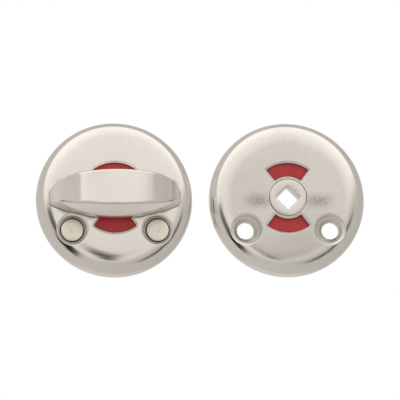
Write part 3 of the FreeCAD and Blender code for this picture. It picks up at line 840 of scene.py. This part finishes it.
class Graph:
    """A node tree, with a short word for each kind of node that the finishes and the studio use. Each
    takes plain numbers or computed values and gives a computed value."""

    def __init__(self, tree):
        tree.nodes.clear()
        self.tree = tree

    def node(self, kind, **settings):
        """A new node with the given settings."""
        node = self.tree.nodes.new(kind)
        for name, value in settings.items():
            setattr(node, name, value)
        return node

    def feed(self, socket, value):
        """Link a computed value to the socket, or write a plain one into it."""
        if isinstance(value, bpy.types.NodeSocket):
            self.tree.links.new(value, socket)
        else:
            socket.default_value = value

    def math(self, operation, *values):
        """One step of arithmetic."""
        node = self.node("ShaderNodeMath", operation=operation)
        for socket, value in zip(node.inputs, values):
            self.feed(socket, value)
        return node.outputs[0]

    def plus(self, a, b):
        """The sum."""
        return self.math("ADD", a, b)

    def minus(self, a, b):
        """The difference."""
        return self.math("SUBTRACT", a, b)

    def times(self, a, b):
        """The product."""
        return self.math("MULTIPLY", a, b)

    def larger(self, a, b):
        """The larger of the two."""
        return self.math("MAXIMUM", a, b)

    def size(self, value):
        """The value without its sign."""
        return self.math("ABSOLUTE", value)

    def polar(self, x, z):
        """Distance from the axis and angle round it."""
        squares = self.plus(self.times(x, x), self.times(z, z))
        return self.math("SQRT", squares), self.math("ARCTAN2", z, x)

    def dot(self, vector, axis):
        """How far the vector reaches along the axis."""
        node = self.node("ShaderNodeVectorMath", operation="DOT_PRODUCT")
        self.feed(node.inputs[0], vector)
        self.feed(node.inputs[1], axis)
        return node.outputs["Value"]

    def joined(self, x, y, z):
        """Three values as one vector."""
        node = self.node("ShaderNodeCombineXYZ")
        for socket, value in zip(node.inputs, (x, y, z)):
            self.feed(socket, value)
        return node.outputs[0]

    def noise(self, vector, scale, detail=LINE_DETAIL, roughness=PLAIN_ROUGHNESS):
        """Soft noise from 0 to 1, mostly between NOISE_LOW and NOISE_HIGH."""
        node = self.node("ShaderNodeTexNoise")
        inputs = {"Vector": vector, "Scale": scale, "Detail": detail, "Roughness": roughness}
        for name, value in inputs.items():
            self.feed(node.inputs[name], value)
        return node.outputs[0]

    def blend(self, share, first, second):
        """A colour between two, by a share from 0 to 1."""
        mix = self.node("ShaderNodeMix", data_type="RGBA")
        self.feed(mix.inputs["Factor"], share)
        for name, colour in (("A", first), ("B", second)):
            self.feed(mix.inputs[name], (*colour, 1.0) if isinstance(colour, tuple) else colour)
        return mix.outputs["Result"]

    def ranged(self, value, low, high, to_low, to_high):
        """The value's range from low to high, stretched straight to another range and held at its ends."""
        node = self.node("ShaderNodeMapRange")
        self.feed(node.inputs["Value"], value)
        for name, number in (("From Min", low), ("From Max", high), ("To Min", to_low), ("To Max", to_high)):
            node.inputs[name].default_value = number
        return node.outputs["Result"]

    def spread(self, noise, low, high):
        """Noise stretched from low to high."""
        return self.ranged(noise, NOISE_LOW, NOISE_HIGH, low, high)

    def smooth_step(self, value, low, high):
        """0 below low, 1 above high and a soft passage between."""
        node = self.node("ShaderNodeMapRange", interpolation_type="SMOOTHSTEP")
        for name, number in (("Value", value), ("From Min", low), ("From Max", high)):
            self.feed(node.inputs[name], number)
        return node.outputs["Result"]

    def rest(self, share):
        """What a share leaves of 1."""
        return self.minus(1.0, share)

    def band(self, value, low, high, soft):
        """1 between low and high, with soft ends."""
        rise = self.smooth_step(value, low - soft, low + soft)
        fall = self.smooth_step(value, high - soft, high + soft)
        return self.times(rise, self.rest(fall))


class Finish(Graph):
    """A material's nodes: its shader, and Object coordinates measured from a given axis."""

    def __init__(self, name, centre=(0.0, 0.0, 0.0)):
        self.material = bpy.data.materials.new(name)
        self.material.use_nodes = True
        super().__init__(self.material.node_tree)
        self.shader = self.node("ShaderNodeBsdfPrincipled")
        self.feed(self.node("ShaderNodeOutputMaterial").inputs["Surface"], self.shader.outputs[0])
        mapping = self.node("ShaderNodeMapping")
        mapping.inputs["Location"].default_value = [-c * MILLIMETRE for c in centre]
        self.feed(mapping.inputs["Vector"], self.node("ShaderNodeTexCoord").outputs["Object"])
        split = self.node("ShaderNodeSeparateXYZ")
        self.feed(split.inputs[0], mapping.outputs[0])
        self.place = mapping.outputs[0]
        self.x, self.y, self.z = split.outputs

    def vertex_value(self, name):
        """A value that the mesh carries at its vertices."""
        return self.node("ShaderNodeAttribute", attribute_name=name).outputs["Fac"]

    def made(self, colour, rough, height, relief, metallic=1.0):
        """The material with its colour and roughness, and its height as a relief in millimetres."""
        self.feed(self.shader.inputs["Base Color"], colour)
        self.feed(self.shader.inputs["Roughness"], rough)
        self.shader.inputs["Metallic"].default_value = metallic
        bump = self.node("ShaderNodeBump")
        bump.inputs["Distance"].default_value = relief * MILLIMETRE
        self.feed(bump.inputs["Height"], height)
        self.feed(self.shader.inputs["Normal"], bump.outputs[0])
        return self.material


def metres(lengths):
    """Lengths in millimetres as metres."""
    return [length * MILLIMETRE for length in lengths]


def rose_nickel(name, centre_x, shades, rough, brushed, pitch, smear_reflection, sink_shadow, shoulder_sheen):
    """Satin nickel, brushed in circles round the hub: fine streaks along the circle in colour,
    roughness and height, and a gloss drawn out across them. Rough is the roughness of the smoothest and
    the roughest streaks, brushed what the face inside the shoulder has on top, and pitch the scale of the
    streaks per metre of radius. The last three arguments are painted light: how dark a painted reflection
    is, smeared along the streaks left and right of the hub, how dark the painted shadow in the countersinks
    is, and how much lighter the shoulder is painted than the face, as a painted sheen."""
    nickel = Finish(name, (centre_x, 0.0, 0.0))
    radius, angle = nickel.polar(nickel.x, nickel.z)
    across, along = nickel.times(radius, pitch), nickel.times(angle, STREAK_TURNS)
    streak = nickel.noise(nickel.joined(across, along, 0.0), 1.0, STREAK_DETAIL, STREAK_ROUGHNESS)
    cloud = nickel.noise(nickel.place, ROSE_CLOUD, CLOUD_DETAIL)
    tone = nickel.plus(nickel.times(streak, STREAK_SHARE), nickel.times(cloud, 1 - STREAK_SHARE))
    shoulder = nickel.smooth_step(radius, *metres(SHOULDER_BLEND))
    # The shoulder is painted lighter than the face: a painted sheen
    lighter = nickel.plus(nickel.spread(tone, 0.0, 1.0), nickel.times(shoulder, shoulder_sheen))
    plain = nickel.blend(lighter, *shades)
    # Painted reflection: a dark smear along the streaks left and right of the hub, standing in for dark
    # surroundings mirrored by the brushed face
    drift = nickel.plus(nickel.z, nickel.times(streak, SMEAR_DRIFT * MILLIMETRE))
    smear_share = nickel.times(nickel.band(drift, *metres(SMEAR_BAND)), nickel.band(radius, *metres(SMEAR_RING)))
    smear_share = nickel.times(smear_share, nickel.ranged(streak, *SMEAR_STREAKS, smear_reflection, 0.0))
    # Painted shadow in the countersinks, in a ring round each screw axis
    beside = nickel.minus(nickel.size(nickel.x), SCREW_X * MILLIMETRE)
    from_screw, _ = nickel.polar(beside, nickel.minus(nickel.z, SCREW_Z * MILLIMETRE))
    sink_shadowing = nickel.times(nickel.band(from_screw, *metres(SINK_SHADOW_RING)), sink_shadow)
    colour = nickel.blend(sink_shadowing, nickel.blend(smear_share, plain, PAINTED_SMEAR), PAINTED_SINK_SHADOW)
    on_face = nickel.times(nickel.rest(shoulder), brushed)
    gloss = nickel.plus(nickel.ranged(streak, *STREAK_GLOSS, *rough), on_face)
    nickel.shader.inputs["Anisotropic"].default_value = ROSE_STRETCH
    tangent = nickel.node("ShaderNodeTangent", direction_type="RADIAL", axis="Y")
    nickel.feed(nickel.shader.inputs["Tangent"], tangent.outputs[0])
    return nickel.made(colour, gloss, streak, STREAK_SLOPE / pitch / MILLIMETRE)


def grip_nickel():
    """Satin nickel: the front polished nearly bright, the flanks duller and painted lighter as a painted
    sheen, faint length-wise polishing lines, a painted shade line where the rolled edge meets the flank and a
    painted shadow just above the rose's dome."""
    nickel = Finish("grip_nickel_bright")
    x, y, z = nickel.x, nickel.y, nickel.z
    flank, roll = nickel.vertex_value("flank"), nickel.vertex_value("roll")
    scaled = [nickel.times(value, scale) for value, scale in zip((x, y, z), LINE_SCALES)]
    lines = nickel.noise(nickel.joined(*scaled), 1.0)
    cloud = nickel.noise(nickel.place, GRIP_CLOUD, CLOUD_DETAIL)
    tone = nickel.plus(nickel.times(lines, LINE_SHARE), nickel.times(cloud, 1 - LINE_SHARE))
    # The flanks and end walls are painted lighter, a painted sheen; their duller satin finish is the
    # roughness below
    shade = nickel.plus(nickel.spread(tone, 0.0, GRIP_TONE), nickel.times(flank, FLANK_SHEEN))
    polished = nickel.blend(shade, *GRIP_NICKEL)
    radius, _ = nickel.polar(x, z)
    # Painted shadow along the foot, just above the rose's dome
    sag = nickel.times(nickel.times(radius, radius), 1 / (2 * DOME_RADIUS * MILLIMETRE))
    above_dome = nickel.minus(sag, nickel.plus(y, GRIP_FOOT * MILLIMETRE))
    foot_shadow = nickel.times(nickel.rest(nickel.smooth_step(above_dome, *metres(FOOT_SHADOW_REACH))), FOOT_SHADOW_DEPTH)
    # Painted shade: a dark line where the rolled edge meets the flank
    ends = nickel.smooth_step(nickel.size(x), *metres(EDGE_SHADE_ENDS))
    line = nickel.times(nickel.times(nickel.band(roll, *PAINTED_EDGE_SHADE), EDGE_SHADE_DEPTH), nickel.rest(ends))
    colour = nickel.blend(nickel.larger(foot_shadow, line), polished, PAINTED_FOOT_SHADOW)
    rough = nickel.plus(nickel.spread(tone, *GRIP_ROUGH), nickel.times(flank, FLANK_ROUGH))
    return nickel.made(colour, rough, lines, LINE_RELIEF)


def turned_metal(name, centre, shades, rough, pitch):
    """Lathe-turned metal: rings round the piece's own axis in colour, gloss and height, pitch being
    their scale per metre of radius."""
    metal = Finish(name, centre)
    radius, angle = metal.polar(metal.x, metal.z)
    scaled = ((radius, pitch), (angle, TURNED_ANGLE), (metal.y, TURNED_DEPTH))
    ring = metal.noise(metal.joined(*[metal.times(value, scale) for value, scale in scaled]), 1.0)
    colour = metal.blend(metal.spread(ring, 0.0, 1.0), *shades)
    return metal.made(colour, metal.spread(ring, *rough), ring, TURNED_RELIEF)


def indicator_enamel(name, centre_x, reds):
    """Two red and two white sectors round the hub: red where the turn's axis is nearer to upright."""
    enamel = Finish(name, (centre_x, 0.0, 0.0))
    upright = enamel.minus(enamel.size(enamel.z), enamel.size(enamel.x))
    border = ENAMEL_BORDER * MILLIMETRE
    cloud = enamel.noise(enamel.place, ENAMEL_CLOUD)
    red, white = [enamel.blend(enamel.spread(cloud, 0.0, 1.0), *shades) for shades in (reds, INDICATOR_WHITE)]
    colour = enamel.blend(enamel.ranged(upright, -border, border, 0.0, 1.0), white, red)
    return enamel.made(colour, enamel.spread(cloud, *ENAMEL_ROUGH), cloud, ENAMEL_RELIEF, metallic=0.0)


def plated_steel(name, shades, rough, grain):
    """Stamped steel under thin plating: a mottled tone with fine grain."""
    steel = Finish(name)
    mottle = steel.noise(steel.place, grain, STREAK_DETAIL, STREAK_ROUGHNESS)
    fine = steel.noise(steel.place, grain * STEEL_FINENESS, CLOUD_DETAIL)
    tone = steel.plus(steel.times(mottle, STEEL_MOTTLE_SHARE), steel.times(fine, 1 - STEEL_MOTTLE_SHARE))
    colour = steel.blend(steel.spread(tone, 0.0, 1.0), *shades)
    return steel.made(colour, steel.spread(tone, *rough), fine, STEEL_RELIEF)


def dress(obj, material):
    """One material on the whole piece."""
    obj.data.materials.clear()
    obj.data.materials.append(material)


def towards_camera():
    """The direction from the lock to the camera: a little below and to the left of straight ahead."""
    level = math.cos(VIEW_BELOW)
    return Vector((-math.sin(VIEW_LEFT) * level, -math.cos(VIEW_LEFT) * level, -math.sin(VIEW_BELOW)))


def set_camera():
    """A long lens, framed as the photograph."""
    data = bpy.data.cameras.new("lock_camera")
    data.sensor_width = SENSOR
    data.lens = SENSOR * VIEW_DISTANCE / VIEW_WIDTH
    data.clip_start = VIEW_NEAREST * MILLIMETRE
    camera = bpy.data.objects.new("lock_camera", data)
    bpy.context.scene.collection.objects.link(camera)
    target = Vector((VIEW_CENTRE[0], 0.0, VIEW_CENTRE[1])) * MILLIMETRE
    camera.location = target + towards_camera() * VIEW_DISTANCE * MILLIMETRE
    level = (-towards_camera()).to_track_quat("-Z", "Y")
    camera.rotation_euler = (level @ Quaternion((0, 0, 1), VIEW_ROLL)).to_euler()
    bpy.context.scene.camera = camera


def set_studio():
    """White surroundings for the camera, and for what the metal reflects a wide soft light in front and
    above, greyer walls, and the dark gaps under the light that draw the lines on the rose's shoulder."""
    world = bpy.data.worlds.new("studio")
    bpy.context.scene.world = world
    world.use_nodes = True
    sky = Graph(world.node_tree)
    surround = sky.node("ShaderNodeBackground")
    surround.inputs["Color"].default_value = (*LIGHT_TINT, 1.0)
    sky.feed(surround.inputs["Strength"], surround_level(sky))
    white = sky.node("ShaderNodeBackground")
    white.inputs["Color"].default_value = (1.0, 1.0, 1.0, 1.0)
    mix = sky.node("ShaderNodeMixShader")
    sky.feed(mix.inputs[0], sky.node("ShaderNodeLightPath").outputs["Is Camera Ray"])
    sky.feed(mix.inputs[1], surround.outputs[0])
    sky.feed(mix.inputs[2], white.outputs[0])
    sky.feed(sky.node("ShaderNodeOutputWorld").inputs["Surface"], mix.outputs[0])


def surround_level(sky):
    """Brightness by direction: the light within its edge, the walls past it, both dimmed in the gaps.
    Directions are counted from the one that the flat faces mirror: away from it, and round it."""
    direction = sky.node("ShaderNodeTexCoord").outputs["Generated"]
    camera = towards_camera()
    front = Vector((-camera.x, camera.y, -camera.z))
    right = Vector((math.cos(VIEW_LEFT), math.sin(VIEW_LEFT), 0.0))
    across, rise = sky.dot(direction, right), sky.dot(direction, right.cross(-front))
    away = sky.math("DEGREES", sky.math("ARCCOSINE", sky.dot(direction, front)))
    angle = sky.math("ARCTAN2", rise, across)
    height, sideways = sky.math("SINE", angle), sky.math("COSINE", angle)
    under = sky.larger(sky.times(height, -1.0), 0.0)
    lit = light_share(sky, away, height, sideways, under)
    light = sky.times(lit, light_level(sky, away, height, rise))
    wall = sky.times(sky.rest(lit), wall_level(sky, away, across, under))
    gaps = dark_gaps(sky, sky.math("DEGREES", angle), away)
    return sky.times(sky.plus(light, wall), sky.rest(gaps))


def light_share(sky, away, height, sideways, under):
    """1 on the wide light and 0 past its edge, which lies furthest at the top and fades out more slowly
    to the right."""
    edge = sky.plus(LIGHT_SIDE, sky.times(sky.larger(height, 0.0), LIGHT_TOP - LIGHT_SIDE))
    edge = sky.minus(edge, sky.times(under, LIGHT_SIDE - LIGHT_BOTTOM))
    edge = sky.minus(edge, sky.times(sideways, LIGHT_SHIFT))
    rightward = sky.larger(sideways, 0.0)
    start = sky.minus(LIGHT_FADE[0], sky.times(rightward, LIGHT_FADE_RIGHT[0]))
    end = sky.plus(LIGHT_FADE[1], sky.times(rightward, LIGHT_FADE_RIGHT[1]))
    return sky.rest(sky.smooth_step(sky.minus(away, edge), start, end))


def light_level(sky, away, height, rise):
    """The light's brightness: a glow further out and above, and a little less light from below."""
    glow = sky.times(sky.smooth_step(away, *GLOW_AWAY), sky.ranged(height, *GLOW_RISE, 0.0, GLOW_LEVEL))
    slope = sky.ranged(rise, -LIGHT_RISE, LIGHT_RISE, LIGHT_LOW, LIGHT_HIGH)
    return sky.times(sky.plus(LIGHT_LEVEL, glow), slope)


def wall_level(sky, away, across, under):
    """The walls' brightness: darker on the right, lighter behind the camera and low in front."""
    wall = sky.ranged(across, -1.0, 1.0, WALL_LEFT, WALL_RIGHT)
    wall = sky.plus(wall, sky.times(sky.smooth_step(away, *BEHIND_AWAY), BEHIND_LIGHT))
    floor = sky.times(sky.band(away, *FLOOR_AWAY), sky.smooth_step(under, *FLOOR_UNDER))
    return sky.plus(wall, sky.times(floor, FLOOR_LIGHT))


def dark_gaps(sky, angle, away):
    """How dark the gaps are in a direction, given in degrees round the mirrored one and away from it."""
    gaps = 0.0
    for gap in DARK_GAPS:
        share = sky.times(sky.band(angle, *gap["round"]), sky.band(away, *gap["away"]))
        gaps = sky.larger(gaps, sky.times(share, gap["depth"]))
    return gaps


set_camera()

rose_left = rose_piece("inside_rose_cover", 0.0)
rose_right = rose_piece("outside_rose_cover", ROSE_SPACING)
grip = grip_piece()
grip_journal = journal_piece()
hub = follower_piece()
sleeve_left = sleeve_piece("sleeve_head_left", SCREW_CENTRES[0])
sleeve_right = sleeve_piece("sleeve_head_right", SCREW_CENTRES[1])

dress(rose_left, rose_nickel(
    "inside_rose_nickel", 0.0, INSIDE_NICKEL,
    rough=(0.07, 0.12), brushed=0.03, pitch=6000.0, smear_reflection=0.0, sink_shadow=0.75, shoulder_sheen=0.0,
))
dress(rose_right, rose_nickel(
    "outside_rose_nickel", ROSE_SPACING, OUTSIDE_NICKEL,
    rough=(0.08, 0.13), brushed=0.26, pitch=3000.0, smear_reflection=0.95, sink_shadow=0.0, shoulder_sheen=0.45,
))
bright = grip_nickel()
dress(grip, bright)
dress(grip_journal, bright)
dress(hub, turned_metal("hub_nickel", (ROSE_SPACING, 0.0, 0.0), HUB_NICKEL, rough=(0.2, 0.3), pitch=9000.0))
for name, sleeve, (x, z) in (
    ("sleeve_plate_left", sleeve_left, SCREW_CENTRES[0]),
    ("sleeve_plate_right", sleeve_right, SCREW_CENTRES[1]),
):
    dress(sleeve, turned_metal(name, (x, 0.0, z), SLEEVE_PLATE, rough=(0.3, 0.4), pitch=5000.0))

for obj, node, body, slot in (
    (rose_left, "inside_rose", "roses", "rose_nickel"),
    (rose_right, "outside_rose", "roses", "rose_nickel"),
    (grip, "thumb_turn", "turn", "grip_nickel"),
    (grip_journal, "thumb_turn", "turn", "grip_nickel"),
    (hub, "follower", "hub", "grip_nickel"),
    (sleeve_left, "sleeve_nut_left", "roses", "sleeve_nickel"),
    (sleeve_right, "sleeve_nut_right", "roses", "sleeve_nickel"),
):
    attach(obj, body)
    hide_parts(node)

zinc = plated_steel("zinc_plated_steel", ZINC_PLATE, rough=(0.3, 0.42), grain=350.0)
spring = plated_steel("oiled_spring_steel", SPRING_STEEL, rough=(0.28, 0.4), grain=500.0)
for node, finish in (
    ("inside_indicator_disc", indicator_enamel("inside_indicator_enamel", 0.0, INSIDE_RED)),
    ("outside_indicator_disc", indicator_enamel("outside_indicator_enamel", ROSE_SPACING, OUTSIDE_RED)),
    ("inside_bearing_plate", zinc),
    ("outside_bearing_plate", zinc),
    ("spindle", zinc),
    ("inside_wave_washer", spring),
    ("outside_wave_washer", spring),
    ("inside_retaining_ring", spring),
    ("outside_retaining_ring", spring),
    ("spindle_pin", spring),
):
    dress(nodes[node], finish)

set_studio()
bpy.context.scene.view_settings.view_transform = "Standard"
